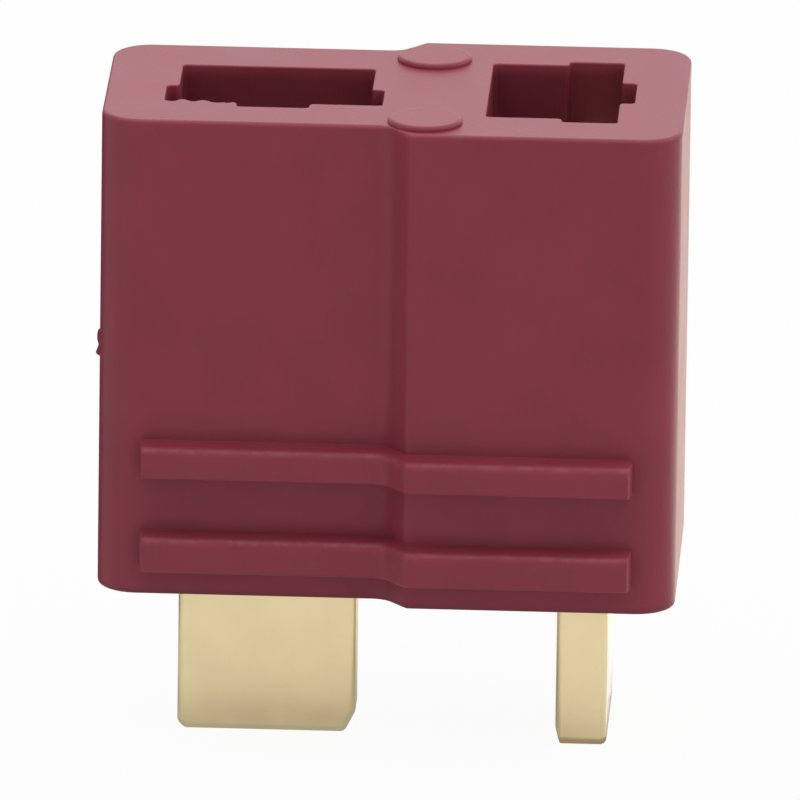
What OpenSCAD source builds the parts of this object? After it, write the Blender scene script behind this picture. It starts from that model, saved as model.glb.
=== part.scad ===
// Socket half of a two-blade power connector of the T kind.
// One blade lies along the width, the other across it, so the halves mate one way only.
// The socket stands on the ends of its solder tabs, with its mating face up.

/* [Housing] */
// Width of the housing, along X
housing_w = 16; // [15:0.1:20]
// Height of the housing, without the tabs
housing_h = 13.6; // [11:0.1:18]
// Depth of the thin half, which holds the lengthwise slot
thin_d = 7.74; // [6.8:0.02:9]
// Depth of the thick half, which holds the crosswise slot
thick_d = 9.42; // [9.2:0.02:12]
// Radius of the upright corners
corner_r = 1.1; // [0.5:0.05:1.6]
// Where the slope between the halves ends, right of the middle
step_x = 0.58; // [0.2:0.01:1.2]
// Run of that slope along X
step_run = 0.65; // [0.4:0.01:1.4]
// Radius in the foot of that slope
step_foot_r = 0.6; // [0.2:0.05:1]
// Radius on the outer edge of that slope
step_edge_r = 0.25; // [0.05:0.01:0.4]
// Thickness of the floor under the slots
floor_t = 3; // [2.2:0.1:4]
// Wall between the lengthwise slot and the thin end
thin_end_wall = 1.66; // [1:0.02:2.4]
// Wall between the crosswise slot and the thick end
thick_end_wall = 1.42; // [1:0.02:2]

/* [Grip ribs] */
// How far the ribs stand proud
rib_proud = 0.72; // [0.2:0.01:0.9]
// Height of a rib at its foot
rib_h = 1; // [0.8:0.01:1.4]
// How much taller the lowest rib is
low_rib_more = 0.1; // [0:0.01:0.3]
// Draft of a rib's upper and lower side
rib_draft = 0.06; // [0.02:0.01:0.1]
// Bevel along the upper edge of a rib
rib_bevel = 0.15; // [0.05:0.01:0.18]
// Distance from one rib to the next
rib_pitch = 2.68; // [2:0.01:3.2]
// Foot of the lower rib above the underside
rib_foot_z = 0.78; // [0.3:0.01:1.2]
// Distance from a rib's end to the end of the housing
rib_inset = 1.2; // [1.1:0.05:2]
// Number of ribs on each face
rib_count = 2; // [1:1:3]

/* [Pads and gate] */
// Radius of the raised pads on the mating face
pad_r = 1.03; // [0.6:0.01:1.2]
// Height of the pads
pad_h = 0.15; // [0.1:0.01:0.3]
// Place of the pads along X
pad_x = 0.91; // [0.7:0.01:1.2]
// Gap between the front pad and the front face
front_pad_gap = 0.3; // [0.1:0.01:0.5]
// Gap between the back pad and the back face
back_pad_gap = 0.78; // [0.1:0.01:0.9]
// Radius of the gate mark on the thin end
gate_r = 0.4; // [0.25:0.01:0.6]
// How far the gate mark stands proud
gate_proud = 0.2; // [0.1:0.01:0.4]
// Height of the gate mark above the underside
gate_z = 6.08; // [5:0.02:9]

/* [Contacts] */
// Thickness of the contact bar, and of the blade that it meets
bar_t = 1.42; // [1:0.02:1.8]
// Width of the solder tab, and of the blade that the socket takes
tab_w = 4.94; // [4:0.02:5.2]
// Length of the tab below the housing
tab_len = 4.52; // [3:0.02:7]
// Width of the contact inside its slot
contact_w = 5.9; // [5.7:0.02:6.6]
// Distance of the contact's top below the mating face
contact_sink = 2; // [1.2:0.1:4]
// Radius along the upright edges of the bar
bar_edge_r = 0.18; // [0.05:0.01:0.3]
// Lead-in for the blade at the contact's top: depth
lead_in_t = 0.4; // [0.2:0.02:0.6]
// Lead-in for the blade at the contact's top: height
lead_in_h = 0.9; // [0.4:0.05:1.4]
// Large corner cut at the tab's tip: width
tip_cut_w = 0.3; // [0.1:0.02:0.8]
// Large corner cut at the tab's tip: height
tip_cut_h = 0.59; // [0.2:0.01:1.2]
// Small corner break at the tab's tip
tip_break = 0.2; // [0.05:0.01:0.4]
// Bevel on the blade side of the tab's tip: depth
tip_bevel_t = 0.14; // [0.05:0.01:0.3]
// Bevel on the blade side of the tab's tip: height
tip_bevel_h = 0.55; // [0.2:0.01:1]

/* [Retention] */
// Width of the channel behind the contact
channel_w = 1.99; // [1.4:0.01:2.6]
// Depth of that channel
channel_d = 0.41; // [0.25:0.01:0.6]
// Distance of the barb's top edge below the contact's top
barb_drop = 3; // [1:0.1:4]
// Height of the barb
barb_h = 1.3; // [0.8:0.05:2]
// Clearance between the barb and the sides of its channel
barb_clear = 0.2; // [0.1:0.01:0.4]

/* [Springs] */
// Thickness of the leaf spring
spring_t = 0.26; // [0.16:0.01:0.4]
// Width of the leaf spring
spring_w = 4.2; // [3:0.05:4.5]
// Room behind the mated blade for the flattened spring
spring_room = 0.68; // [0.5:0.01:1]
// How far the free spring bows out of the wall
spring_bow = 0.78; // [0.5:0.01:1]
// Distance of the spring's top below the mating face
spring_sink = 1.7; // [1.2:0.1:3]
// Length of the spring's root, pressed into the floor
spring_root = 1.6; // [1:0.05:2]

/* [Fits] */
// Clearance round a seated piece
seat_clear = 0.05; // [0.03:0.01:0.1]
// Clearance between the blade and each side of its slot
blade_clear = 0.19; // [0.1:0.01:0.3]

/* [Hidden] */
$fn = 48;
// Overrun of a cut past the face that it opens
over = 1;
// Overlap of a raised form with the body that it grows from
root = 0.3;
// Depth to which a grip rib is rooted in the body
rib_root = 1;
// Straight pieces in the curve of a leaf spring
leaf_pieces = 24;

underside_z = tab_len;
floor_z = underside_z + floor_t;
mating_z = underside_z + housing_h;

// A slot has a wide part for the contact and a narrow part for the blade and its spring
wide_w = contact_w + 2 * seat_clear;
wide_d = bar_t + 2 * seat_clear;
narrow_w = tab_w + 2 * blade_clear;
narrow_d = bar_t + spring_room;

// In a slot's own frame X is its width and the blade meets the contact at Y = 0
lengthwise_at = [-housing_w / 2 + thin_end_wall + wide_w / 2, (wide_d - narrow_d) / 2, 0];
crosswise_at = [housing_w / 2 - thick_end_wall - channel_d - wide_d, 0, 0];
contact_front = -seat_clear;
contact_back = contact_front - bar_t;
contact_top_z = mating_z - contact_sink;

// Corners of the slope between the halves, on the front face
slope_start = [step_x - step_run, -thin_d / 2];
slope_end = [step_x, -thick_d / 2];
slope_angle = atan2(slope_end.y - slope_start.y, step_run);
slope_way = [cos(slope_angle), sin(slope_angle)];
// How far the radii in the foot and on the edge of the slope reach along its faces
foot_reach = step_foot_r * tan(abs(slope_angle) / 2);
edge_reach = step_edge_r * tan(abs(slope_angle) / 2);

module in_lengthwise_slot() {
    translate(lengthwise_at) children();
}

module in_crosswise_slot() {
    translate(crosswise_at) rotate([0, 0, 90]) children();
}

// Half of the housing's plan, with its two outer corners rounded, reaching to +X
module half_plan(length, depth) {
    translate([0, -depth / 2]) square([length - corner_r, depth]);
    translate([0, -depth / 2 + corner_r]) square([length, depth - 2 * corner_r]);
    for (side = [-1, 1])
        translate([length - corner_r, side * (depth / 2 - corner_r)]) circle(corner_r);
}

// What the radius in the foot of the slope adds to the plan, on the front face
module slope_foot() {
    centre = slope_start + [-foot_reach, -step_foot_r];
    difference() {
        polygon([
            slope_start + [-foot_reach, 0],
            centre,
            slope_start + foot_reach * slope_way,
            slope_start + [0, root],
            slope_start + [-foot_reach, root]
        ]);
        translate(centre) circle(step_foot_r);
    }
}

// Front of the slope between the halves, as far as the middle, with its outer edge rounded
module slope_plan() {
    centre = slope_end + [edge_reach, step_edge_r];
    polygon([
        slope_start,
        slope_end - edge_reach * slope_way,
        centre,
        slope_end + [edge_reach, 0],
        [slope_end.x + edge_reach, 0],
        [slope_start.x, 0]
    ]);
    translate(centre) circle(step_edge_r);
}

module housing_plan() {
    thick_start = slope_end.x + edge_reach;
    mirror([1, 0]) translate([-slope_start.x, 0])
        half_plan(housing_w / 2 + slope_start.x, thin_d);
    translate([thick_start, 0]) half_plan(housing_w / 2 - thick_start, thick_d);
    for (face = [0, 1]) mirror([0, face]) {
        slope_plan();
        slope_foot();
    }
}

// Section of a grip rib: X points out of the face, Y is height above the rib's foot.
// Across the slope it is squeezed, so that the rib stands as far forward there as elsewhere
module rib_section(height, depth, squeeze) {
    lean = rib_draft / rib_proud;
    section = [
        [-depth, -depth * lean],
        [rib_proud, rib_draft],
        [rib_proud, height - rib_draft - rib_bevel],
        [rib_proud - rib_bevel, height - (rib_proud - rib_bevel) * lean],
        [-depth, height + depth * lean]
    ];
    polygon([for (point = section) [squeeze * point.x, point.y]]);
}

// Straight rib, from a point on the front face and along +X, rooted to a depth in the body
module rib_run(length, height, depth, squeeze = 1) {
    rotate([90, 0, 90]) linear_extrude(length) mirror([1, 0])
        rib_section(height, depth, squeeze);
}

// Rib along the whole front face: the thin half's run ends in the slope's run, and the slope's
// run is cut to the thick half's where the two meet in an outer corner
module rib(height) {
    rib_x = housing_w / 2 - rib_inset;
    translate([-rib_x, slope_start.y, 0]) rib_run(rib_x + slope_end.x, height, rib_root);
    intersection() {
        translate(slope_start) rotate([0, 0, slope_angle])
            translate([-housing_w, 0, 0])
                rib_run(2 * housing_w, height, housing_w, cos(slope_angle));
        translate([slope_start.x - rib_root, slope_end.y, 0])
            rib_run(rib_x - slope_start.x + rib_root, height,
                    rib_root + slope_start.y - slope_end.y);
    }
}

module grip_ribs() {
    for (face = [0, 1], i = [0 : rib_count - 1])
        mirror([0, face, 0])
            translate([0, 0, underside_z + rib_foot_z + i * rib_pitch])
                rib(i == 0 ? rib_h + low_rib_more : rib_h);
}

module pads() {
    for (y = [-thick_d / 2 + front_pad_gap + pad_r, thick_d / 2 - back_pad_gap - pad_r])
        translate([pad_x, y, mating_z - root]) cylinder(r = pad_r, h = pad_h + root);
}

module gate_mark() {
    translate([-housing_w / 2 - gate_proud, 0, underside_z + gate_z])
        rotate([0, 90, 0]) cylinder(r = gate_r, h = gate_proud + root);
}

// Block in a slot's own frame, centred on its width
module slot_block(width, front, back, bottom, top) {
    translate([-width / 2, front, bottom]) cube([width, back - front, top - bottom]);
}

// Everything that is cut out of the housing for one contact and its spring
module slot_cut() {
    open_z = mating_z + over;
    slot_block(narrow_w, -seat_clear, narrow_d, floor_z, open_z);
    slot_block(wide_w, -wide_d, 0, floor_z, open_z);
    slot_block(channel_w, -wide_d - channel_d, -seat_clear, floor_z, open_z);
    slot_block(tab_w + 2 * seat_clear, -wide_d, 0, underside_z - over, floor_z + over);
    slot_block(
        spring_w + 2 * seat_clear,
        narrow_d - spring_t - 2 * seat_clear,
        narrow_d,
        floor_z - spring_root,
        floor_z + over
    );
}

module housing() {
    color("#783843") difference() {
        union() {
            translate([0, 0, underside_z]) linear_extrude(housing_h) housing_plan();
            grip_ribs();
            pads();
            gate_mark();
        }
        in_lengthwise_slot() slot_cut();
        in_crosswise_slot() slot_cut();
    }
}

// Section of the contact bar, with its upright edges rounded
module bar_section(width) {
    inner_w = width - 2 * bar_edge_r;
    inner_t = bar_t - 2 * bar_edge_r;
    translate([-width / 2, contact_back + bar_edge_r]) square([width, inner_t]);
    translate([-inner_w / 2, contact_back]) square([inner_w, bar_t]);
    for (x = [-inner_w / 2, inner_w / 2], y = [0, inner_t])
        translate([x, contact_back + bar_edge_r + y]) circle(bar_edge_r);
}

// Prism along Y with the given outline in X and Z
module cut_through(points) {
    translate([0, over, 0]) rotate([90, 0, 0])
        linear_extrude(bar_t + 2 * over) polygon(points);
}

// Prism along X with the given outline in Y and Z, centred on the width
module bar_across(width, points) {
    translate([-width / 2, 0, 0]) rotate([90, 0, 90]) linear_extrude(width) polygon(points);
}

// Wedge on the contact's back that bites into the channel and holds the contact down
module barb() {
    top_z = contact_top_z - barb_drop;
    tip = -wide_d - channel_d + seat_clear;
    bar_across(channel_w - 2 * barb_clear, [
        [contact_back + root, top_z],
        [tip, top_z],
        [contact_back, top_z - barb_h],
        [contact_back + root, top_z - barb_h]
    ]);
}

module tip_cuts() {
    half_w = tab_w / 2;
    cut_through([
        [half_w - tip_cut_w, 0],
        [half_w, tip_cut_h],
        [half_w + over, tip_cut_h],
        [half_w + over, -over],
        [half_w - tip_cut_w, -over]
    ]);
    cut_through([
        [-half_w + tip_break, 0],
        [-half_w, tip_break],
        [-half_w - over, tip_break],
        [-half_w - over, -over],
        [-half_w + tip_break, -over]
    ]);
    bar_across(tab_w + 2 * over, [
        [contact_front - tip_bevel_t, 0],
        [contact_front, tip_bevel_h],
        [contact_front + over, tip_bevel_h],
        [contact_front + over, -over],
        [contact_front - tip_bevel_t, -over]
    ]);
}

module lead_in_cut() {
    bar_across(contact_w + 2 * over, [
        [contact_front, contact_top_z - lead_in_h],
        [contact_front - lead_in_t, contact_top_z],
        [contact_front - lead_in_t, contact_top_z + over],
        [contact_front + over, contact_top_z + over],
        [contact_front + over, contact_top_z - lead_in_h]
    ]);
}

module contact() {
    difference() {
        union() {
            linear_extrude(floor_z + root) bar_section(tab_w);
            translate([0, 0, floor_z])
                linear_extrude(contact_top_z - floor_z) bar_section(contact_w);
            barb();
        }
        tip_cuts();
        lead_in_cut();
    }
}

module lengthwise_contact() {
    color("#dccaa3") in_lengthwise_slot() contact();
}

module crosswise_contact() {
    color("#dccaa3") in_crosswise_slot() contact();
}

// One face of the leaf: side is +1 towards the wall and -1 towards the blade
function leaf_face(side) = let (
    height = mating_z - spring_sink - floor_z,
    rest_y = narrow_d - seat_clear - spring_t / 2
) [
    for (i = [0 : leaf_pieces]) let (
        share = i / leaf_pieces,
        y = rest_y - spring_bow * (1 - cos(360 * share)) / 2,
        slope = -spring_bow * PI * sin(360 * share) / height,
        out = side * spring_t / 2 / sqrt(1 + slope * slope)
    ) [y + out, floor_z + height * share - out * slope]
];

function backwards(list) = [for (i = [len(list) - 1 : -1 : 0]) list[i]];

// Bowed leaf, flat against the wall at both ends, with its root down in the floor
module leaf_spring() {
    wall_face = leaf_face(1);
    blade_face = leaf_face(-1);
    root_z = floor_z - spring_root;
    bar_across(spring_w, concat(
        [[wall_face[0].x, root_z]],
        wall_face,
        backwards(blade_face),
        [[blade_face[0].x, root_z]]
    ));
}

module lengthwise_spring() {
    color("#b9bdc2") in_lengthwise_slot() leaf_spring();
}

module crosswise_spring() {
    color("#b9bdc2") in_crosswise_slot() leaf_spring();
}

housing();
lengthwise_contact();
crosswise_contact();
lengthwise_spring();
crosswise_spring();
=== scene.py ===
"""Looks of a two-blade power connector socket, built round its packed frame."""
import math
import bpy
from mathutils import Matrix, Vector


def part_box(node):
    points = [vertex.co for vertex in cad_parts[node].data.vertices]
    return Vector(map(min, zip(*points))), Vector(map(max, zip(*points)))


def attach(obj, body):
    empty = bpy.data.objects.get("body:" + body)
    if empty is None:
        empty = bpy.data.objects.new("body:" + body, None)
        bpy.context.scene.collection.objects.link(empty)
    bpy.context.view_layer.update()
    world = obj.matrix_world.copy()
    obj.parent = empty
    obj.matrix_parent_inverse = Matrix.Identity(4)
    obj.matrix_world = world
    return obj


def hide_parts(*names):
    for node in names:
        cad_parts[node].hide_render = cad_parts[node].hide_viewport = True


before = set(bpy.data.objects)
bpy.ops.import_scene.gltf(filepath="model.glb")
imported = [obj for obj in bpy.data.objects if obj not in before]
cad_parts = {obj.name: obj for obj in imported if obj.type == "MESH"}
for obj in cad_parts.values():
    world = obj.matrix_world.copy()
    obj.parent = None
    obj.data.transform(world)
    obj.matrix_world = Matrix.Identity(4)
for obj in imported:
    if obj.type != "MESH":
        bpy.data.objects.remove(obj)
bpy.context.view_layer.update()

from types import SimpleNamespace
from typing import NamedTuple

import bmesh
import bpy
from bpy.props import FloatProperty, FloatVectorProperty, PointerProperty
from mathutils import Matrix, Vector, noise

bl_info = {
    "name": "Power Connector Socket",
    "version": (1, 0, 0),
    "blender": (4, 5, 0),
    "location": "View3D > Sidebar > Socket",
    "description": "Builds a two-blade power connector socket with its finishes and studio",
    "category": "Add Mesh",
}

MM = 0.001
BODY = "root"
HOUSING_LOW, HOUSING_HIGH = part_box("housing")
BAR_LOW, BAR_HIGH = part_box("lengthwise_contact")
LEAF_LOW, LEAF_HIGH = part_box("lengthwise_spring")
# Half the height from the underside to the mating face, in millimetres
HOUSING_HALF_H = 6.8


def length(name, description, millimetres):
    """Length property, with its default given in millimetres."""
    return FloatProperty(
        name=name, description=description, default=millimetres * MM, unit="LENGTH"
    )


def angle(name, description, degrees):
    """Angle property, with its default given in degrees."""
    return FloatProperty(
        name=name, description=description, default=math.radians(degrees), subtype="ANGLE"
    )


def colour(name, description, rgb):
    """Linear colour property."""
    return FloatVectorProperty(
        name=name, description=description, default=rgb, subtype="COLOR", min=0.0, max=1.0
    )


def number(name, description, value):
    """Plain number property."""
    return FloatProperty(name=name, description=description, default=value, min=0.0)


class HousingSizes(bpy.types.PropertyGroup):
    """Sizes of the moulded housing."""

    width: length("Width", "Width of the moulding", 2 * HOUSING_HIGH.x / MM)
    underside_z: length("Underside", "Height of the underside", HOUSING_LOW.z / MM)
    thin_d: length("Thin half", "Depth of the half with the lengthwise slot", 7.74)
    thick_d: length("Thick half", "Depth of the half with the crosswise slot", 9.42)
    corner_r: length("Corner radius", "Radius of the upright corners", 1.1)
    step_x: length("Step", "Where the slope meets the thick half", 0.58)
    step_run: length("Step run", "Run of the slope between the halves", 0.65)
    step_foot_r: length("Step foot", "Radius in the foot of the slope", 0.6)
    step_edge_r: length("Step edge", "Radius on the outer edge of the slope", 0.25)
    lower_rim_r: length("Lower rim", "Radius round the underside", 0.14)
    upper_rim_r: length("Upper rim", "Radius round the mating face", 0.13)
    floor_t: length("Floor", "Thickness of the floor under the slots", 3.0)
    rib_proud: length("Rib proud", "How far the ribs stand proud", 0.72)
    rib_h: length("Rib height", "Height of a rib at its foot", 1.0)
    low_rib_more: length("Low rib", "How much taller the lowest rib is", 0.1)
    rib_draft: length("Rib draft", "Draft of a rib's upper and lower side", 0.06)
    rib_brow_r: length("Rib brow", "Radius along the upper edge of a rib", 0.26)
    rib_pitch: length("Rib pitch", "Distance from one rib to the next", 2.68)
    rib_foot_z: length("Rib foot", "Foot of the lower rib above the underside", 0.78)
    rib_inset: length("Rib inset", "Distance from a rib's end to the housing's end", 1.2)
    rib_end_r: length("Rib end", "Run of the rounding on the end of a rib", 0.12)
    rib_foot_r: length("Rib foot radius", "Radius in the lower foot of a rib", 0.04)
    rib_nape_r: length("Rib nape", "Radius in the upper foot of a rib", 0.01)
    rib_edge_r: length("Rib edge radius", "Radius on the lower edge of a rib", 0.08)
    pad_r: length("Pad radius", "Radius of the raised pads", 1.03)
    pad_h: length("Pad height", "Height of the raised pads", 0.15)
    pad_edge_r: length("Pad edge", "Radius on the upper edge of a pad", 0.11)
    pad_x: length("Pad place", "Place of the pads along the width", 0.91)
    front_pad_gap: length("Front pad gap", "Gap from the front pad to the front face", 0.3)
    back_pad_gap: length("Back pad gap", "Gap from the back pad to the back face", 0.78)
    gate_r: length("Gate radius", "Radius of the gate mark", 0.4)
    gate_proud: length("Gate proud", "How far the gate mark stands proud", 0.24)
    gate_z: length("Gate height", "Gate mark above the underside", 6.08)


class SlotSizes(bpy.types.PropertyGroup):
    """Sizes of a blade slot."""

    narrow_w: length("Narrow width", "Width of the blade's part of the slot", 5.32)
    narrow_d: length("Narrow depth", "Depth of the blade's part of the slot", 2.1)
    wide_w: length("Wide width", "Width of the contact's part of the slot", 6.0)
    wide_d: length("Wide depth", "Depth of the contact's part of the slot", 1.52)
    channel_w: length("Channel width", "Width of the channel behind the contact", 1.99)
    channel_d: length("Channel depth", "Depth of the channel behind the contact", 0.41)
    corner_r: length("Corner", "Radius in the corners of the slot", 0.13)
    rim_r: length("Rim", "Radius round the mouth of the slot", 0.05)
    # Painted shade darkens a slot's wall from none at the mouth to full at this depth
    shade_fade_h: length("Clean height", "Height of the slot's wall that dirt fades over", 0.4)
    flash: length("Flash", "Unevenness of the lengthwise slot's mouth", 0.25)
    slit_clear: length("Slit clearance", "Clearance round a tab or root in its slit", 0.02)
    slit_r: length("Slit corner", "Radius in the corners of a slit", 0.03)
    seat_clear: length("Seat clearance", "Clearance round a seated piece", 0.05)


class ContactSizes(bpy.types.PropertyGroup):
    """Sizes of a contact bar."""

    width: length("Width", "Width inside the slot", (BAR_HIGH.x - BAR_LOW.x) / MM)
    top_z: length("Top", "Height of the contact's top", BAR_HIGH.z / MM)
    bar_t: length("Thickness", "Thickness of the bar", 1.42)
    tab_w: length("Tab width", "Width of the solder tab", 4.94)
    edge_r: length("Edge radius", "Radius along the edges of the bar", 0.18)
    corner_r: length("Corner radius", "Radius at the corners of the tab's tip", 0.2)
    shoulder_r: length("Shoulder radius", "Radius at the shoulders above the tab", 0.24)
    lead_in_t: length("Lead-in depth", "Depth of the blade's lead-in", 0.4)
    lead_in_h: length("Lead-in height", "Height of the blade's lead-in", 0.9)
    tip_cut_w: length("Tip cut width", "Width of the large corner cut", 0.3)
    tip_cut_h: length("Tip cut height", "Height of the large corner cut", 0.59)
    tip_break: length("Tip break", "Size of the small corner break", 0.2)
    tip_bevel_t: length("Tip bevel depth", "Depth of the bevel at the tip", 0.14)
    tip_bevel_h: length("Tip bevel height", "Height of the bevel at the tip", 0.55)
    barb_w: length("Barb width", "Width of the retaining barb", 1.59)
    barb_drop: length("Barb drop", "Barb's top edge below the contact's top", 3.0)
    barb_h: length("Barb height", "Height of the barb", 1.3)


class SpringSizes(bpy.types.PropertyGroup):
    """Sizes of a leaf spring."""

    width: length("Width", "Width of the leaf", (LEAF_HIGH.x - LEAF_LOW.x) / MM)
    top_z: length("Top", "Height of the leaf's top", LEAF_HIGH.z / MM)
    bottom_z: length("Bottom", "Height of the root's end", LEAF_LOW.z / MM)
    leaf_t: length("Thickness", "Thickness of the leaf", 0.26)
    bow: length("Bow", "How far the free leaf bows out of the wall", 0.78)
    edge_r: length("Edge radius", "Radius along the leaf's edges", 0.05)


class SocketLooks(bpy.types.PropertyGroup):
    """Colours of the socket's finishes, and how strongly the plastic's marks show."""

    plastic: colour("Plastic", "Burgundy of the moulding", (0.27, 0.038, 0.062))
    scuffed: colour("Scuffed", "Paler plastic where it is scuffed", (0.42, 0.16, 0.19))
    # Paler plastic on the worn rib brows, partly a painted highlight
    rubbed_and_highlit: colour("Rubbed", "Paler plastic on the rubbed edges of the ribs", (0.42, 0.13, 0.165))
    plating: colour("Plating", "Pale gold of the contacts", (0.95, 0.8, 0.48))
    steel: colour("Spring steel", "Grey of the springs", (0.56, 0.57, 0.59))
    fibres: number("Fibres", "How strongly the streaks of fibre show", 0.22)
    scuffs: number("Scuffs", "How strongly the scuffs show", 0.18)
    # Strength of the paler worn rib brows, partly a painted highlight
    rub_and_highlight: number("Rub", "How strongly the rubbed edges show", 0.3)
    # Strength of the painted shade in rib corners, round rib ends, along the underside and in the
    # slots
    painted_shade_strength: number("Dirt", "How strongly the dirt in corners and slots shows", 0.56)


class StudioSettings(bpy.types.PropertyGroup):
    """View and light of the studio."""

    azimuth: angle("Azimuth", "Camera's turn to the right of the front", 2.322)
    elevation: angle("Elevation", "Camera's height above the horizon", 16.462)
    roll: angle("Roll", "Camera's lean", 0.761)
    middle_z: length(
        "Middle", "Height of the middle of the housing", HOUSING_LOW.z / MM + HOUSING_HALF_H
    )
    distance: length("Distance", "From the camera to the middle of the housing", 711.0)
    sight_x: length("Sight right", "Aim to the right of the housing's middle", 0.159)
    sight_z: length("Sight down", "Aim below the housing's middle", 2.095)
    lens: number("Lens", "Focal length in millimetres", 1157.1)
    sky: number("Sky", "Strength of the light from all round", 0.39)
    key: number("Key", "Power of the large lamp above, in watts", 5.25)
    side: number("Side", "Power of the lamp on the right, in watts", 0.5)
    rim: number("Rim", "Power of the low lamp behind, in watts", 0.33)
    seen_white: number("Seen white", "Share of plain white in the floor that is seen", 0.95)
    mirrored_white: number("Mirrored white", "The same share in the mirrored floor", 0.35)
    paper: colour("Paper", "Colour of the floor", (0.72, 0.72, 0.72))


def in_mm(sizes):
    """Every size of a group in millimetres, by name."""
    names = type(sizes).__annotations__
    return SimpleNamespace(**{name: getattr(sizes, name) / MM for name in names})


class Station(NamedTuple):
    """Point of an outline, with the direction that points out of it."""

    x: float
    y: float
    nx: float
    ny: float


# Fineness of the meshes, with lengths in millimetres
ARC_STEP = math.radians(12)
SHARP_ANGLE = math.radians(35)
RIM_STEPS = 5
RIB_END_STEPS = 7
SLOPE_STEPS = 12
GATE_STEPS = 7
GATE_MARGIN = 2
PAD_STEPS = 64
LEAF_STEPS = 40
FLASH_STEPS = 19
FLASH_STEP = 0.1
WALL_ROW = 0.12
FLAT_BAND = 0.015
SHARP_R = 0.001

# Limits within which lengths, shares and directions count as the same
NEAR = 1e-6
END_SHARE = 1e-3
CUT_SLACK = 1e-5
FACING = 0.999

# Share of the gap between the wall and a pad that the upper rim may take
RIM_ROOM = 0.7

# Broken surface of the gate mark: its edge in radii, its tearing and its pinched line
GATE_FOOT = 1.2
GATE_EDGE_RUN = 0.4
TORN_MEAN = 0.88
TORN_DEPTH = 0.15
TORN_SCALE = 6.0
TORN_SLICE = 2.5
PINCH_DEPTH = 0.28
PINCH_RUN = 0.3

# Flash at a slot's mouth: the run over which its ends fade, and its noise
FLASH_FADE = 0.15
FLASH_SCALE = 3.0
FLASH_SLICE = 4.5

# Worn rib brows, partly a painted highlight, and painted shade in rib corners, round the rib ends,
# along the underside and down the slots: their reach in millimetres and their strength
BROW_REACH = 0.16
CORNER_REACH = 0.3
RIB_END_REACH = 0.25
UNDERSIDE_REACH = 0.16
NAPE_SHADE = 0.65
FOOT_SHADE = 0.6
RIB_END_SHADE = 0.8
UNDERSIDE_SHADE = 1.5
SLOT_SHADE = 1.55

# Studio: the camera's reach, half the floor's side and the lamps' aim in metres
CAMERA_REACH = 10.0
FLOOR_HALF = 1.5
LAMP_AIM = Vector((0.0, 0.0, 0.01))
# Studio: drop of the floor and of the cards on it below the tabs' ends, and the place of
# the side cards, in millimetres
FLOOR_DROP = 0.03
CARD_DROP = 0.01
SIDE_CARD_X = -13


def clamped(value):
    """Value kept between 0 and 1."""
    return min(max(value, 0.0), 1.0)


def level_corners(span_x, span_y, z):
    """Corners of a level rectangle."""
    (left, right), (front, back) = span_x, span_y
    return [(left, front, z), (right, front, z), (right, back, z), (left, back, z)]


def arc_stations(before, here, after, radius):
    """Stations round one corner of an outline that is followed anticlockwise."""
    way_in = (here - before).normalized()
    way_out = (after - here).normalized()
    turn = math.atan2(way_in.cross(way_out), way_in.dot(way_out))
    start = here - way_in * radius * math.tan(abs(turn) / 2)
    side = math.copysign(1.0, turn)
    centre = start + side * radius * Vector((-way_in.y, way_in.x))
    heading = math.atan2(way_in.y, way_in.x)
    steps = max(1, math.ceil(abs(turn) / ARC_STEP))
    for step in range(steps + 1):
        now = heading + turn * step / steps
        out = Vector((math.sin(now), -math.cos(now)))
        point = centre + side * radius * out
        yield Station(point.x, point.y, out.x, out.y)


def rounded_loop(corners):
    """Closed outline through corners of (x, y, radius), followed anticlockwise."""
    points = [Vector(corner[:2]) for corner in corners]
    stations = []
    for i, corner in enumerate(corners):
        after = points[(i + 1) % len(points)]
        stations += arc_stations(points[i - 1], points[i], after, corner[2])
    return stations


def rounded_path(corners):
    """Open path through corners of (x, y, radius), as plain points."""
    points = [Vector(corner[:2]) for corner in corners]
    path = [points[0]]
    for i in range(1, len(points) - 1):
        arc = arc_stations(points[i - 1], points[i], points[i + 1], corners[i][2])
        path += [Vector((station.x, station.y)) for station in arc]
    return path + [points[-1]]


def divided(path, stretch):
    """The path with points added, so that none of its stretches is longer than the given one."""
    points = [path[0]]
    for before, after in zip(path, path[1:]):
        pieces = max(1, math.ceil((after - before).length / stretch))
        points += [before.lerp(after, piece / pieces) for piece in range(1, pieces + 1)]
    return points


def split_at(stations, axis, places):
    """The outline with stations added where its straight stretches cross the places."""
    split = []
    for i, here in enumerate(stations):
        split.append(here)
        after = stations[(i + 1) % len(stations)]
        if abs(here.nx - after.nx) + abs(here.ny - after.ny) > NEAR:
            continue
        run = after[axis] - here[axis]
        shares = sorted((p - here[axis]) / run for p in places) if abs(run) > NEAR else []
        for share in shares:
            if END_SHARE < share < 1 - END_SHARE:
                x = here.x + (after.x - here.x) * share
                y = here.y + (after.y - here.y) * share
                split.append(Station(x, y, here.nx, here.ny))
    return split


def quarter(radius, steps=RIM_STEPS):
    """Points round a quarter circle: how far in from the side and how far from the rim."""
    for step in range(steps + 1):
        now = math.pi / 2 * step / steps
        yield radius * (1 - math.sin(now)), radius * (1 - math.cos(now))


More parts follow.
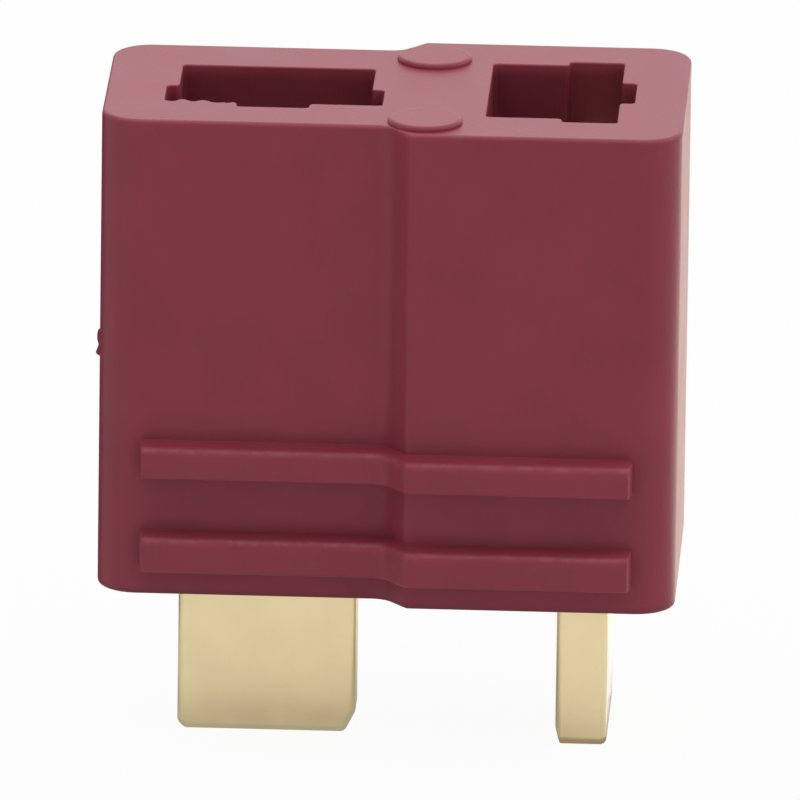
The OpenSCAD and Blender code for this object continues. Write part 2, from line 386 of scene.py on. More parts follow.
class Shell:
    """Closed skin that is built ring by ring, in millimetres."""

    def __init__(self):
        self.bm = bmesh.new()
        # Per point: above 0 on worn rib brows, partly a painted highlight; below 0 for painted shade
        self.wear_and_shade = self.bm.verts.layers.float.new("wear_and_shade")

    def ring(self, points, wear_and_shade=0.0):
        """Ring of new points with one wear."""
        verts = [self.bm.verts.new(point) for point in points]
        for vert in verts:
            vert[self.wear_and_shade] = wear_and_shade
        return verts

    def flat_ring(self, stations, z, out=0.0, wear_and_shade=0.0):
        """Ring at one height, moved outwards along each station's direction."""
        return self.ring([(st.x + st.nx * out, st.y + st.ny * out, z) for st in stations], wear_and_shade)

    def bridge(self, rings):
        """Skin over a run of rings with as many points each."""
        for low, high in zip(rings, rings[1:]):
            for i in range(len(low)):
                j = (i + 1) % len(low)
                self.bm.faces.new((low[i], low[j], high[j], high[i]))

    def cap(self, *rings):
        """Flat skin inside the first ring and outside the others."""
        edges = []
        for ring in rings:
            for i, vert in enumerate(ring):
                pair = (ring[i - 1], vert)
                edges.append(self.bm.edges.get(pair) or self.bm.edges.new(pair))
        bmesh.ops.triangle_fill(self.bm, edges=edges, use_beauty=True)

    def slab(self, stations, low, high, rim, *openings):
        """Plate of the outline between two heights, with rounded rims and openings on top."""
        bends = [(0.0, -rim - FLAT_BAND)] + [(up, -into) for into, up in quarter(rim)]
        rows = [(low + up, out) for up, out in bends]
        rows += [(high - up, out) for up, out in reversed(bends)]
        rings = [self.flat_ring(stations, z, out) for z, out in rows]
        self.bridge(rings)
        self.cap(rings[0])
        self.cap(rings[-1], *openings)

    def wedge(self, width, low, high, base, tip):
        """Wedge that rises from a base to a tip at its high end; returns its foot."""
        half = width / 2
        foot = self.ring(level_corners((-half, half), (low, high), base))
        near, far = self.ring([(-half, high, tip), (half, high, tip)])
        low_left, low_right, high_right, high_left = foot
        self.bm.faces.new((low_left, low_right, far, near))
        self.bm.faces.new((high_right, high_left, near, far))
        self.bm.faces.new((low_right, high_right, far))
        self.bm.faces.new((high_left, low_left, near))
        return foot

    def shave(self, point, out):
        """Cuts off what lies beyond a plane, and closes the cut."""
        bm = self.bm
        cut = bmesh.ops.bisect_plane(
            bm,
            geom=bm.verts[:] + bm.edges[:] + bm.faces[:],
            dist=CUT_SLACK,
            plane_co=point,
            plane_no=out,
            clear_outer=True,
        )
        edges = [e for e in cut["geom_cut"] if isinstance(e, bmesh.types.BMEdge)]
        bmesh.ops.edgeloop_fill(bm, edges=edges)

    def turn(self, matrix):
        """Turns the whole skin."""
        self.bm.transform(matrix)

    def mesh(self, name, matrix):
        """The skin as a smooth mesh in metres, placed by the matrix."""
        copy = self.bm.copy()
        bmesh.ops.recalc_face_normals(copy, faces=copy.faces)
        copy.transform(Matrix.Scale(MM, 4) @ matrix)
        mesh = bpy.data.meshes.new(name)
        copy.to_mesh(mesh)
        copy.free()
        mesh.shade_smooth()
        mesh.set_sharp_from_angle(angle=SHARP_ANGLE)
        return mesh


def add_piece(mesh, node, material):
    """Shows a mesh in place of a node, with the finish of its slot."""
    piece = bpy.data.objects.new(mesh.name, mesh)
    bpy.context.scene.collection.objects.link(piece)
    mesh.materials.append(material)
    weighted = piece.modifiers.new("Weighted normals", "WEIGHTED_NORMAL")
    weighted.keep_sharp = True
    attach(piece, BODY)
    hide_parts(node)


def gate_steps(h):
    """Fine steps across the gate mark and its margin, from its middle."""
    reach = GATE_STEPS + GATE_MARGIN
    return [h.gate_r * step / GATE_STEPS for step in range(-reach, reach + 1)]


def housing_outline(h):
    """Plan of the housing, with stations where ribs end and where the gate mark lies."""
    end_x, thin_y, thick_y = h.width / 2, h.thin_d / 2, h.thick_d / 2
    start_x = h.step_x - h.step_run
    front = [
        (-end_x, -thin_y, h.corner_r),
        (start_x, -thin_y, h.step_foot_r),
        (h.step_x, -thick_y, h.step_edge_r),
        (end_x, -thick_y, h.corner_r),
    ]
    back = [(x, -y, r) for x, y, r in reversed(front)]
    rib_x = end_x - h.rib_inset
    ends = [rib_x - into for into, _ in quarter(h.rib_end_r, RIB_END_STEPS)]
    slope_places = [start_x + h.step_run * step / SLOPE_STEPS for step in range(SLOPE_STEPS + 1)]
    places = ends + [-x for x in ends] + slope_places
    stations = split_at(rounded_loop(front + back), 0, places)
    return split_at(stations, 1, gate_steps(h))


def pad_places(h):
    """Middles of the front pad and the back pad along the depth."""
    front, back = h.front_pad_gap + h.pad_r, h.back_pad_gap + h.pad_r
    return front - h.thick_d / 2, h.thick_d / 2 - back


def rim_share(h, st):
    """How much of the upper rim's radius has room between the wall and the pads."""
    gap = min(math.hypot(st.x - h.pad_x, st.y - y) for y in pad_places(h)) - h.pad_r
    return min(1.0, RIM_ROOM * gap / (h.upper_rim_r + FLAT_BAND))


def rib_share(h, x):
    """How much of a rib's proud is reached at a place along the width."""
    inside = h.width / 2 - h.rib_inset - abs(x)
    left = 1 - clamped(inside / h.rib_end_r)
    return math.sqrt(1 - left * left)


def rib_levels(h):
    """Foot and top of each rib, from the bottom up."""
    low = h.underside_z + h.rib_foot_z
    high = low + h.rib_pitch
    return [(low, low + h.rib_h + h.low_rib_more), (high, high + h.rib_h)]


def rib_path(h, foot_z, top_z):
    """Corners of a rib's section as (proud, height, radius)."""
    return [
        (0.0, foot_z, h.rib_foot_r),
        (h.rib_proud, foot_z + h.rib_draft, h.rib_edge_r),
        (h.rib_proud, top_z - h.rib_draft, h.rib_brow_r),
        (0.0, top_z, h.rib_nape_r),
    ]


def wall_rows(h, mating_z):
    """Rows of the outer wall from the bottom up, as (height, move out, rib's proud)."""
    base = h.underside_z
    rows = [(base, -h.lower_rim_r - FLAT_BAND, 0.0)]
    rows += [(base + up, -into, 0.0) for into, up in quarter(h.lower_rim_r)]
    gate_z = base + h.gate_z
    corners = [(0.0, base + h.lower_rim_r, 0.0)]
    for foot_z, top_z in rib_levels(h):
        corners += rib_path(h, foot_z, top_z)
    path = rounded_path(corners + [(0.0, gate_z - 2 * h.gate_r, 0.0)])
    rows += [(point.y, 0.0, point.x) for point in divided(path, WALL_ROW)[1:]]
    rows += [(gate_z + step, 0.0, 0.0) for step in gate_steps(h)]
    upper_rim = list(quarter(h.upper_rim_r))[::-1]
    rows += [(mating_z - up, -into, 0.0) for into, up in upper_rim]
    rows.append((mating_z, -h.upper_rim_r - FLAT_BAND, 0.0))
    return rows


def wall_wear_and_shade(h, x, z, proud):
    """Wear of the outer wall: up to about 1 on rubbed edges, below 0 where dirt gathers."""
    wear_and_shade, past_end = 0.0, 0.0
    beyond = abs(x) - h.width / 2 + h.rib_inset
    for foot_z, top_z in rib_levels(h):
        apart = max(z - top_z, foot_z - z, 0.0)
        past_end += math.exp(-math.hypot(beyond, apart) / RIB_END_REACH) if beyond > 0 else 0.0
        brow = math.hypot(proud - h.rib_proud, z - top_z + h.rib_draft)
        nape, foot = math.hypot(proud, z - top_z), math.hypot(proud, z - foot_z)
        wear_and_shade += math.exp(-((brow / BROW_REACH) ** 2))
        wear_and_shade -= NAPE_SHADE * math.exp(-nape / CORNER_REACH)
        wear_and_shade -= FOOT_SHADE * math.exp(-foot / CORNER_REACH)
    rim = math.exp(-(((z - h.underside_z) / UNDERSIDE_REACH) ** 2))
    return wear_and_shade * rib_share(h, x) - RIB_END_SHADE * past_end - UNDERSIDE_SHADE * rim


def gate_height(h, y, z):
    """Height of the broken gate mark on the thin end, with the line where it was pinched off."""
    across = math.hypot(y, z) / h.gate_r
    edge = clamped((GATE_FOOT - across) / GATE_EDGE_RUN)
    tear = noise.noise(Vector((TORN_SCALE * y, TORN_SCALE * z, TORN_SLICE)))
    torn = TORN_MEAN + TORN_DEPTH * tear
    pinch = 1 - PINCH_DEPTH * math.exp(-((z / (PINCH_RUN * h.gate_r)) ** 2))
    return h.gate_proud * edge * edge * (3 - 2 * edge) * torn * pinch


def slot_outline(s):
    """Stepped outline of a slot in its own frame: its two parts meet at Y = 0."""
    half = [
        (s.narrow_w / 2, s.narrow_d),
        (s.narrow_w / 2, 0.0),
        (s.wide_w / 2, 0.0),
        (s.wide_w / 2, -s.wide_d),
        (s.channel_w / 2, -s.wide_d),
        (s.channel_w / 2, -s.wide_d - s.channel_d),
    ]
    mirrored = [(-x, y) for x, y in half]
    corners = mirrored + half[::-1]
    return rounded_loop([(x, y, s.corner_r) for x, y in corners])


def flashed(s, outline, flash):
    """Outline of a slot with ragged moulding flash on the left of the channel."""
    low, high = -s.wide_w / 2 + s.corner_r, -s.channel_w / 2 - s.corner_r
    places = [low + FLASH_STEP * step for step in range(1, FLASH_STEPS + 1)]
    ragged = []
    for st in split_at(outline, 0, places):
        from_end = min(st.x - low, high - st.x)
        on_edge = st.ny < -FACING and abs(st.y + s.wide_d) < NEAR
        share = clamped(from_end / FLASH_FADE) if on_edge else 0.0
        push = flash * share * noise.noise(Vector((FLASH_SCALE * st.x, 0.0, FLASH_SLICE)))
        ragged.append(st._replace(y=st.y + push))
    return ragged


def box_outline(width, front, back, radius):
    """Rectangle that is centred on its width, with rounded corners."""
    half = width / 2
    corners = [(-half, front), (half, front), (half, back), (-half, back)]
    return rounded_loop([(x, y, radius) for x, y in corners])


def placed(stations, spot):
    """Stations of a slot's own frame, moved to where the slot is."""
    turn = spot.to_3x3()
    moved = []
    for st in stations:
        point = spot @ Vector((st.x, st.y, 0.0))
        out = turn @ Vector((st.nx, st.ny, 0.0))
        moved.append(Station(point.x, point.y, out.x, out.y))
    return moved


def slot_spots():
    """Placing of the two slots in the housing, in millimetres, by the way that each lies."""
    wide_low, wide_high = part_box("lengthwise_contact")
    turned_low, turned_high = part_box("crosswise_contact")
    clear = bpy.context.scene.socket_slot.seat_clear
    lengthwise_x = (wide_low.x + wide_high.x) / 2
    crosswise_y = (turned_low.y + turned_high.y) / 2
    along = Matrix.Translation(Vector((lengthwise_x, wide_high.y + clear, 0.0)) / MM)
    across = Matrix.Translation(Vector((turned_low.x - clear, crosswise_y, 0.0)) / MM)
    return {
        "lengthwise": along,
        "crosswise": across @ Matrix.Rotation(math.pi / 2, 4, "Z"),
    }


def add_slot(shell, h, s, c, spring, spot, flash, mating_z):
    """One slot with its floor and slits; returns its mouth and its slit in the underside."""
    floor_z = h.underside_z + h.floor_t
    mouth, wall = [placed(flashed(s, slot_outline(s), rough), spot) for rough in (flash, 0.0)]
    rings = [shell.flat_ring(mouth, mating_z, s.rim_r + FLAT_BAND)]
    rings += [shell.flat_ring(mouth, mating_z - up, out) for out, up in quarter(s.rim_r)]
    # Painted shade on the slot's wall, full from the fade depth down to the floor
    rings += [shell.flat_ring(wall, z, wear_and_shade=-SLOT_SHADE) for z in (mating_z - s.shade_fade_h, floor_z)]
    shell.bridge(rings)

    front, back = -s.seat_clear - c.bar_t - s.slit_clear, -s.seat_clear + s.slit_clear
    tab_slit = placed(box_outline(c.tab_w + 2 * s.slit_clear, front, back, s.slit_r), spot)
    tab_rings = [shell.flat_ring(tab_slit, floor_z)]
    low_rim = list(quarter(s.slit_r))[::-1]
    tab_rings += [shell.flat_ring(tab_slit, h.underside_z + up, out) for out, up in low_rim]
    shell.bridge(tab_rings)

    rest = s.narrow_d - s.seat_clear
    front, back = rest - spring.leaf_t - s.slit_clear, rest + s.slit_clear
    root_slit = placed(box_outline(spring.width + 2 * s.slit_clear, front, back, s.slit_r), spot)
    root_rings = [shell.flat_ring(root_slit, z) for z in (floor_z, spring.bottom_z)]
    shell.bridge(root_rings)
    shell.cap(root_rings[-1])
    shell.cap(rings[-1], tab_rings[0], root_rings[0])
    return rings[0], tab_rings[-1]


def add_pad(shell, h, y, mating_z):
    """Raised round pad; returns its foot in the mating face."""
    stations = []
    for step in range(PAD_STEPS):
        now = 2 * math.pi * step / PAD_STEPS
        nx, ny = math.cos(now), math.sin(now)
        stations.append(Station(h.pad_x + h.pad_r * nx, y + h.pad_r * ny, nx, ny))
    top_z = mating_z + h.pad_h
    rings = [shell.flat_ring(stations, mating_z)]
    for into, up in reversed(list(quarter(h.pad_edge_r))):
        rings.append(shell.flat_ring(stations, top_z - up, -into))
    rings.append(shell.flat_ring(stations, top_z, -h.pad_edge_r - FLAT_BAND))
    shell.bridge(rings)
    shell.cap(rings[-1])
    return rings[0]


def housing_shell(scene):
    """The whole moulding: outer wall, ribs, slots, pads, gate mark and underside."""
    h, s = in_mm(scene.socket_housing), in_mm(scene.socket_slot)
    c, spring = in_mm(scene.socket_contact), in_mm(scene.socket_spring)
    mating_z = HOUSING_HIGH.z / MM - h.pad_h
    shell = Shell()
    outline = housing_outline(h)
    rings = []
    for z, out, proud in wall_rows(h, mating_z):
        points = []
        for st in outline:
            move, forward = out, math.copysign(proud * rib_share(h, st.x), st.y)
            if st.nx < -FACING:
                move += gate_height(h, st.y, z - h.underside_z - h.gate_z)
            height = z
            if z > mating_z - h.upper_rim_r:
                share = rim_share(h, st)
                move, height = share * move, mating_z - share * (mating_z - z)
            points.append((st.x + st.nx * move, st.y + st.ny * move + forward, height))
        ring = shell.ring(points)
        # Worn rib brows, partly a painted highlight, and painted shade in corners and along the
        # underside
        for vert, st in zip(ring, outline):
            vert[shell.wear_and_shade] = wall_wear_and_shade(h, st.x, z, proud)
        rings.append(ring)
    shell.bridge(rings)

    mouths, slits = [], []
    for way, spot in slot_spots().items():
        flash = s.flash if way == "lengthwise" else 0.0
        mouth, slit = add_slot(shell, h, s, c, spring, spot, flash, mating_z)
        mouths.append(mouth)
        slits.append(slit)
    feet = [add_pad(shell, h, y, mating_z) for y in pad_places(h)]
    shell.cap(rings[-1], *mouths, *feet)
    shell.cap(rings[0], *slits)
    return shell


def contact_shell(scene):
    """Contact bar with its solder tab, in the slot's own frame."""
    h, s, c = in_mm(scene.socket_housing), in_mm(scene.socket_slot), in_mm(scene.socket_contact)
    floor_z = h.underside_z + h.floor_t
    tab, wide = c.tab_w / 2, c.width / 2
    outline = rounded_loop([
        (-tab + c.tip_break, 0.0, c.corner_r),
        (tab - c.tip_cut_w, 0.0, c.corner_r),
        (tab, c.tip_cut_h, c.corner_r),
        (tab, floor_z, SHARP_R),
        (wide, floor_z, c.shoulder_r),
        (wide, c.top_z, c.shoulder_r),
        (-wide, c.top_z, c.shoulder_r),
        (-wide, floor_z, c.shoulder_r),
        (-tab, floor_z, SHARP_R),
        (-tab, c.tip_break, c.corner_r),
    ])
    front, back = -s.seat_clear, -s.seat_clear - c.bar_t
    barb_z = c.top_z - c.barb_drop
    barb_tip = s.wide_d + s.channel_d - s.seat_clear
    shell = Shell()
    barb_foot = shell.wedge(c.barb_w, barb_z - c.barb_h, barb_z, -back, barb_tip)
    shell.slab(outline, -front, -back, c.edge_r, barb_foot)
    # The outline was drawn flat, so it is stood up with its thickness along -Y
    shell.turn(Matrix.Rotation(math.pi / 2, 4, "X"))
    lead_foot = Vector((0.0, front, c.top_z - c.lead_in_h))
    shell.shave(lead_foot, Vector((0.0, c.lead_in_h, c.lead_in_t)))
    bevel_head = Vector((0.0, front, c.tip_bevel_h))
    shell.shave(bevel_head, Vector((0.0, c.tip_bevel_h, -c.tip_bevel_t)))
    return shell


def spring_shell(scene):
    """Bowed leaf with its root, in the slot's own frame."""
    h, s, leaf = in_mm(scene.socket_housing), in_mm(scene.socket_slot), in_mm(scene.socket_spring)
    floor_z = h.underside_z + h.floor_t
    rise = leaf.top_z - floor_z
    rest_y = s.narrow_d - s.seat_clear - leaf.leaf_t / 2
    middle = [Vector((rest_y, leaf.bottom_z))]
    for step in range(LEAF_STEPS + 1):
        share = step / LEAF_STEPS
        bow = leaf.bow * (1 - math.cos(2 * math.pi * share)) / 2
        middle.append(Vector((rest_y - bow, floor_z + rise * share)))
    wall_side, blade_side = [], []
    last = len(middle) - 1
    for i, point in enumerate(middle):
        along = (middle[min(i + 1, last)] - middle[max(i - 1, 0)]).normalized()
        out = Vector((along.y, -along.x))
        past_end = along * ((i == last) - (i == 0))
        wall_side.append(Station(*(point + out * leaf.leaf_t / 2), *(past_end + out)))
        blade_side.append(Station(*(point - out * leaf.leaf_t / 2), *(past_end - out)))
    outline = wall_side + blade_side[::-1]
    shell = Shell()
    shell.slab(outline, -leaf.width / 2, leaf.width / 2, leaf.edge_r)
    # The side view was drawn flat: its depth, height and width become Y, Z and X
    upright = Matrix(((0, 0, 1, 0), (1, 0, 0, 0), (0, 1, 0, 0), (0, 0, 0, 1)))
    shell.turn(upright)
    return shell


class Field:
    """Value of a shader socket; arithmetic on it adds Math nodes."""

    def __init__(self, nodes, socket):
        self.nodes = nodes
        self.socket = socket

    def math(self, operation, first, second):
        """Result of one Math node."""
        return self.nodes.add("ShaderNodeMath", {"operation": operation}, {0: first, 1: second})

    def __add__(self, other):
        return self.math("ADD", self, other)

    def __radd__(self, other):
        return self.math("ADD", other, self)

    def __sub__(self, other):
        return self.math("SUBTRACT", self, other)

    def __rsub__(self, other):
        return self.math("SUBTRACT", other, self)

    def __mul__(self, other):
        return self.math("MULTIPLY", self, other)

    def __rmul__(self, other):
        return self.math("MULTIPLY", other, self)


class Nodes:
    """Node tree of one material or world."""

    def __init__(self, owner):
        owner.use_nodes = True
        self.tree = owner.node_tree
        self.tree.nodes.clear()

    def add(self, kind, settings=None, inputs=None, output=0):
        """Adds a node, with its settings first and then its sockets' values or links."""
        node = self.tree.nodes.new(kind)
        for name, value in (settings or {}).items():
            setattr(node, name, value)
        for key, value in (inputs or {}).items():
            if isinstance(value, Field):
                self.tree.links.new(value.socket, node.inputs[key])
            else:
                node.inputs[key].default_value = value
        return Field(self, node.outputs[output]) if node.outputs else None

    def millimetres(self, stretch=(1.0, 1.0, 1.0)):
        """Place on the object in millimetres, stretched along each axis."""
        place = self.add("ShaderNodeTexCoord", output="Object")
        scale = tuple(factor / MM for factor in stretch)
        return self.add(
            "ShaderNodeVectorMath", {"operation": "MULTIPLY"}, {0: place, 1: scale}
        )

    def noise(self, place, scale, detail, roughness=0.5):
        """Noise from 0 to 1, with a scale in features per millimetre."""
        inputs = {"Vector": place, "Scale": scale, "Detail": detail, "Roughness": roughness}
        return self.add("ShaderNodeTexNoise", {"noise_dimensions": "3D"}, inputs)

    def ramp(self, value, low, high):
        """Smooth rise from 0 to 1 while a value goes from low to high."""
        inputs = {"Value": value, "From Min": low, "From Max": high}
        return self.add("ShaderNodeMapRange", {"interpolation_type": "SMOOTHSTEP"}, inputs)

    def mix(self, share, first, second):
        """Mix of two colours, whose sockets come after those for numbers and vectors."""
        inputs = {"Factor": share, 6: first, 7: second}
        return self.add("ShaderNodeMix", {"data_type": "RGBA"}, inputs, output=2)

    def bump(self, height, depth_mm, strength):
        """Normal of a surface with this height, from 0 to 1 over a depth."""
        inputs = {"Height": height, "Distance": depth_mm * MM, "Strength": strength}
        return self.add("ShaderNodeBump", None, inputs)

    def surface(self, shader):
        """Makes the shader the look of the surface."""
        self.add("ShaderNodeOutputMaterial", None, {"Surface": shader})


def shade(rgb, factor):
    """Colour made lighter or darker, with full alpha."""
    return tuple(min(part * factor, 1.0) for part in rgb) + (1.0,)


def moulded_plastic(looks):
    """Burgundy glass-filled plastic: fine mould grain, mottling, scuffs, rubbed edges and dirt."""
    material = bpy.data.materials.new("moulded_plastic")
    rgb = looks.plastic
    n = Nodes(material)
    place = n.millimetres()
    cloud = n.noise(place, scale=0.55, detail=4.0)
    grain = n.noise(place, scale=9.0, detail=4.0, roughness=0.6)
    fibre = n.noise(n.millimetres((2.2, 2.2, 0.5)), scale=3.2, detail=3.0, roughness=0.6)
    scuff = n.ramp(n.noise(place, scale=1.7, detail=6.0, roughness=0.72), low=0.64, high=0.8)
    brow_specks = n.ramp(n.noise(place, scale=1.9, detail=5.0, roughness=0.65), low=0.47, high=0.6)
    wear_and_shade = n.add("ShaderNodeAttribute", {"attribute_name": "wear_and_shade"}, output="Fac")
    # Masks of the worn rib brows, partly a painted highlight, and of the painted shade
    rubbed_and_highlit = n.ramp(wear_and_shade, low=0.1, high=0.9)
    painted_shade = n.ramp(wear_and_shade * -1.0, low=0.0, high=2.0)
    tone = n.mix(n.ramp(cloud, low=0.3, high=0.7), shade(rgb, 0.96), shade(rgb, 1.04))
    tone = n.mix(n.ramp(fibre, low=0.52, high=0.8) * looks.fibres, tone, shade(rgb, 1.25))
    tone = n.mix(scuff * looks.scuffs, tone, shade(looks.scuffed, 1.0))
    # Paler worn rib brows, partly a painted highlight, then painted shade in corners and slots
    tone = n.mix(rubbed_and_highlit * brow_specks * looks.rub_and_highlight, tone, shade(looks.rubbed_and_highlit, 1.0))
    tone = n.mix(painted_shade * looks.painted_shade_strength, tone, shade(rgb, 0.35))
    normal = n.bump(grain + 0.6 * fibre, depth_mm=0.012, strength=0.55)
    shader = n.add(
        "ShaderNodeBsdfPrincipled",
        None,
        {
            "Base Color": tone,
            "Roughness": 0.35 + 0.1 * cloud + 0.1 * scuff,
            "IOR": 1.34,
            "Normal": normal,
        },
    )
    n.surface(shader)
    return material


def gold_plating(rgb):
    """Pale gold plating on rolled bar: faint drawing lines, cloudy tone and small pits."""
    material = bpy.data.materials.new("gold_plating")
    n = Nodes(material)
    place = n.millimetres()
    cloud = n.noise(place, scale=0.7, detail=3.0)
    lines = n.noise(n.millimetres((9.0, 9.0, 0.35)), scale=1.4, detail=3.0, roughness=0.6)
    pits = n.ramp(n.noise(place, scale=7.0, detail=2.0), low=0.66, high=0.8)
    tone = n.mix(n.ramp(cloud, low=0.3, high=0.7), shade(rgb, 0.97), shade(rgb, 1.02))
    tone = n.mix(pits * 0.15, tone, shade(rgb, 0.72))
    shader = n.add(
        "ShaderNodeBsdfPrincipled",
        None,
        {
            "Base Color": tone,
            "Metallic": 1.0,
            "Roughness": 0.29 + 0.12 * lines + 0.04 * cloud,
            "Normal": n.bump(lines - pits, depth_mm=0.004, strength=0.5),
        },
    )
    n.surface(shader)
    return material


def rolled_spring_steel(rgb):
    """Bright strip steel with rolling lines along its length."""
    material = bpy.data.materials.new("rolled_spring_steel")
    n = Nodes(material)
    lines = n.noise(n.millimetres((12.0, 12.0, 0.4)), scale=1.6, detail=3.0, roughness=0.6)
    cloud = n.noise(n.millimetres(), scale=0.8, detail=3.0)
    tone = n.mix(cloud, shade(rgb, 0.86), shade(rgb, 1.1))
    shader = n.add(
        "ShaderNodeBsdfPrincipled",
        None,
        {
            "Base Color": tone,
            "Metallic": 1.0,
            "Roughness": 0.24 + 0.16 * lines,
            "Normal": n.bump(lines, depth_mm=0.003, strength=0.5),
        },
    )
    n.surface(shader)
    return material


def seen_share(n, seen, mirrored):
    """One value for rays from the camera, one for mirrored and refracted rays, and 0 for the rest."""
    camera = n.add("ShaderNodeLightPath", output="Is Camera Ray")
    glossy = n.add("ShaderNodeLightPath", output="Is Glossy Ray")
    through = n.add("ShaderNodeLightPath", output="Is Transmission Ray")
    return seen * camera + mirrored * glossy + mirrored * through


def studio_paper(rgb, seen_white, mirrored_white):
    """Pale floor that the camera and bright metal see whiter than it is, with its shadow kept."""
    material = bpy.data.materials.new("studio_paper")
    n = Nodes(material)
    matt = n.add("ShaderNodeBsdfDiffuse", None, {"Color": shade(rgb, 1.0)})
    glow = n.add("ShaderNodeEmission", None, {"Color": (1, 1, 1, 1), "Strength": 1.0})
    share = seen_share(n, seen_white, mirrored_white)
    mixed = n.add("ShaderNodeMixShader", None, {0: share, 1: matt, 2: glow})
    n.surface(mixed)
    return material


class SOCKET_OT_build_housing(bpy.types.Operator):
    """Build the moulded housing with its ribs, slots, pads and gate mark"""

    bl_idname = "socket.build_housing"
    bl_label = "Housing"

    def execute(self, context):
        scene = context.scene
        material = moulded_plastic(scene.socket_looks)
        mesh = housing_shell(scene).mesh("moulded_housing", Matrix.Identity(4))
        add_piece(mesh, "housing", material)
        return {"FINISHED"}


class SOCKET_OT_build_contacts(bpy.types.Operator):
    """Build the two gold-plated contact bars with their solder tabs"""

    bl_idname = "socket.build_contacts"
    bl_label = "Contacts"

    def execute(self, context):
        scene = context.scene
        material = gold_plating(scene.socket_looks.plating)
        shell = contact_shell(scene)
        for way, spot in slot_spots().items():
            mesh = shell.mesh(f"{way}_contact_bar", spot)
            add_piece(mesh, f"{way}_contact", material)
        return {"FINISHED"}


class SOCKET_OT_build_springs(bpy.types.Operator):
    """Build the two leaf springs that press the blades against the contacts"""

    bl_idname = "socket.build_springs"
    bl_label = "Springs"

    def execute(self, context):
        scene = context.scene
        material = rolled_spring_steel(scene.socket_looks.steel)
        shell = spring_shell(scene)
        for way, spot in slot_spots().items():
            mesh = shell.mesh(f"{way}_leaf_spring", spot)
            add_piece(mesh, f"{way}_spring", material)
        return {"FINISHED"}


def add_camera(scene, studio):
    """Camera with the photograph's viewing angle."""
    middle = Vector((0.0, 0.0, studio.middle_z))
    turn = Matrix.Rotation(studio.azimuth, 3, "Z") @ Matrix.Rotation(-studio.elevation, 3, "X")
    away = turn @ Vector((0.0, -1.0, 0.0))
    right, up = turn @ Vector((1.0, 0.0, 0.0)), turn @ Vector((0.0, 0.0, 1.0))
    lean_sin, lean_cos = math.sin(studio.roll), math.cos(studio.roll)
    seen_right = right * lean_cos + up * lean_sin
    seen_up = up * lean_cos - right * lean_sin
    place = middle + away * studio.distance
    aim = middle + seen_right * studio.sight_x - seen_up * studio.sight_z
    back = (place - aim).normalized()
    side = seen_up.cross(back).normalized()
    frame_matrix = Matrix((side, back.cross(side), back)).transposed().to_4x4()
    data = bpy.data.cameras.new("camera")
    data.lens = studio.lens
    data.clip_end = CAMERA_REACH
    camera = bpy.data.objects.new("camera", data)
    camera.matrix_world = Matrix.Translation(place) @ frame_matrix
    scene.collection.objects.link(camera)
    scene.camera = camera


def add_lamp(scene, name, watts, size, place):
    """Square soft lamp that looks at the socket."""
    data = bpy.data.lights.new(name, "AREA")
    data.energy = watts
    data.size = size
    lamp = bpy.data.objects.new(name, data)
    lamp.location = place
    lamp.rotation_euler = (LAMP_AIM - Vector(place)).to_track_quat("-Z", "Y").to_euler()
    lamp.visible_camera = False
    scene.collection.objects.link(lamp)


def add_floor(scene, material):
    """Large sheet of paper under the socket."""
    mesh = bpy.data.meshes.new("paper_floor")
    span = (-FLOOR_HALF, FLOOR_HALF)
    corners = level_corners(span, span, -FLOOR_DROP * MM)
    mesh.from_pydata(corners, [], [(0, 1, 2, 3)])
    mesh.materials.append(material)
    floor = bpy.data.objects.new("paper_floor", mesh)
    scene.collection.objects.link(floor)


def grey(level):
    """Grey of one level."""
    return level, level, level


def add_card(scene, name, kind, tone, corners):
    """Card of one shader and tone, with corners in millimetres; only glossy faces see it."""
    material = bpy.data.materials.new(name)
    n = Nodes(material)
    n.surface(n.add(kind, None, {"Color": (*tone, 1.0)}))
    mesh = bpy.data.meshes.new(name)
    mesh.from_pydata([Vector(corner) * MM for corner in corners], [], [range(len(corners))])
    mesh.materials.append(material)
    card = bpy.data.objects.new(name, mesh)
    card.visible_camera = False
    card.visible_diffuse = False
    card.visible_shadow = False
    scene.collection.objects.link(card)


def add_side_card(scene, name, kind, tone, span_y, top):
    """Card upright beside the thin end, which mirrors it."""
    x = SIDE_CARD_X
    front, back = span_y
    corners = [(x, front, 0), (x, back, 0), (x, back, top), (x, front, top)]
    add_card(scene, name, kind, tone, corners)


def add_floor_card(scene, name, kind, tone, span_x, span_y):
    """Card flat on the floor, which the faces above it mirror."""
    add_card(scene, name, kind, tone, level_corners(span_x, span_y, -CARD_DROP))


def add_sky(scene, strength):
    """White surroundings, dimmer as light than as the background that is seen."""
    world = bpy.data.worlds.new("studio")
    scene.world = world
    n = Nodes(world)
    light = n.add("ShaderNodeBackground", None, {"Color": (1, 1, 1, 1), "Strength": strength})
    seen = n.add("ShaderNodeBackground", None, {"Color": (1, 1, 1, 1), "Strength": 1.0})
    mixed = n.add("ShaderNodeMixShader", None, {0: seen_share(n, 1.0, 1.0), 1: light, 2: seen})
    n.add("ShaderNodeOutputWorld", None, {"Surface": mixed})


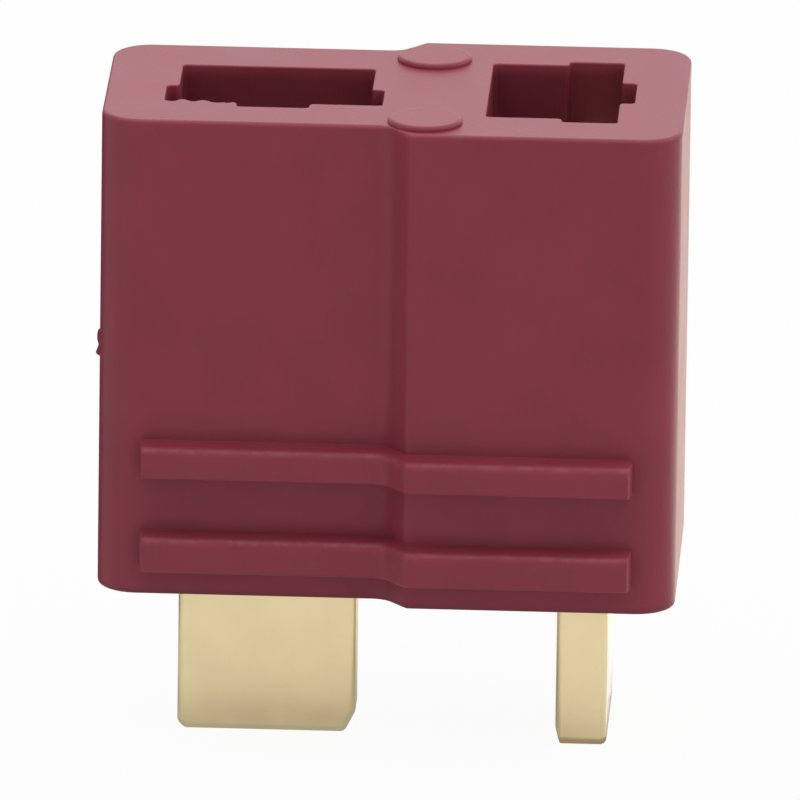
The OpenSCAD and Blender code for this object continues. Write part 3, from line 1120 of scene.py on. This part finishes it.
class SOCKET_OT_build_studio(bpy.types.Operator):
    """Build the camera, floor, surroundings, lamps and mirrored cards"""

    bl_idname = "socket.build_studio"
    bl_label = "Studio"

    def execute(self, context):
        scene = context.scene
        studio = scene.socket_studio
        add_camera(scene, studio)
        paper = studio_paper(studio.paper, studio.seen_white, studio.mirrored_white)
        add_floor(scene, paper)
        add_sky(scene, studio.sky)
        add_lamp(scene, "key", studio.key, size=1.2, place=(0.0, 0.02, 0.7))
        add_lamp(scene, "side", studio.side, size=0.3, place=(0.45, 0.05, 0.25))
        add_lamp(scene, "rim", studio.rim, size=0.5, place=(0.05, 0.5, 0.18))
        # The cards show only in reflections: the black one darkens the thin end's, the glowing grey
        # one paints a dim reflection on the slope, the glowing bright and glare cards paint the glare
        # on the right edges, and the shade, foot and heel cards paint a shadowed floor into the
        # solder tabs
        matt, glow = "ShaderNodeBsdfDiffuse", "ShaderNodeEmission"
        warm, cool, dim = (1.95, 1.86, 1.6), (1.3, 1.52, 2.45), (0.3, 0.27, 0.24)
        add_side_card(scene, "black_card", matt, grey(0.01), span_y=(0, 25), top=19)
        add_side_card(scene, "grey_card", glow, grey(0.6), span_y=(-9, 0), top=16)
        add_floor_card(scene, "bright_card", glow, warm, span_x=(6, 40), span_y=(8, 80))
        add_floor_card(scene, "glare_card", glow, cool, span_x=(7, 8.3), span_y=(-1, 8))
        add_floor_card(scene, "shade_card", matt, grey(0.8), span_x=(-10, 10), span_y=(-5, -2.6))
        add_floor_card(scene, "foot_shadow_card", glow, grey(0.42), span_x=(-10, 4.4), span_y=(-2.6, 2.4))
        add_floor_card(scene, "heel_shadow_card", glow, dim, span_x=(4.4, 6.8), span_y=(-2.6, 2.4))
        scene.view_settings.view_transform = "Standard"
        return {"FINISHED"}


class SOCKET_PT_panel(bpy.types.Panel):
    """Sidebar panel with the socket's operators and settings"""

    bl_idname = "SOCKET_PT_panel"
    bl_label = "Power Connector Socket"
    bl_space_type = "VIEW_3D"
    bl_region_type = "UI"
    bl_category = "Socket"

    def draw(self, context):
        layout = self.layout
        for operator in OPERATORS:
            layout.operator(operator.bl_idname)
        for name, group in GROUPS.items():
            column = layout.column(heading=group.__doc__)
            for size in group.__annotations__:
                column.prop(getattr(context.scene, name), size)


GROUPS = {
    "socket_housing": HousingSizes,
    "socket_slot": SlotSizes,
    "socket_contact": ContactSizes,
    "socket_spring": SpringSizes,
    "socket_looks": SocketLooks,
    "socket_studio": StudioSettings,
}
OPERATORS = (
    SOCKET_OT_build_studio,
    SOCKET_OT_build_housing,
    SOCKET_OT_build_contacts,
    SOCKET_OT_build_springs,
)
CLASSES = (*GROUPS.values(), *OPERATORS, SOCKET_PT_panel)


def register():
    """Registers the classes and puts the settings on the scene."""
    for cls in CLASSES:
        bpy.utils.register_class(cls)
    for name, group in GROUPS.items():
        setattr(bpy.types.Scene, name, PointerProperty(type=group))


def unregister():
    """Takes the settings off the scene and the classes out again."""
    for name in GROUPS:
        delattr(bpy.types.Scene, name)
    for cls in reversed(CLASSES):
        bpy.utils.unregister_class(cls)


def main():
    """Builds the socket in its studio and writes the boxes of the frame and of the looks."""
    register()
    bpy.ops.socket.build_studio()
    bpy.ops.socket.build_housing()
    bpy.ops.socket.build_contacts()
    bpy.ops.socket.build_springs()


if __name__ == "__main__":
    main()
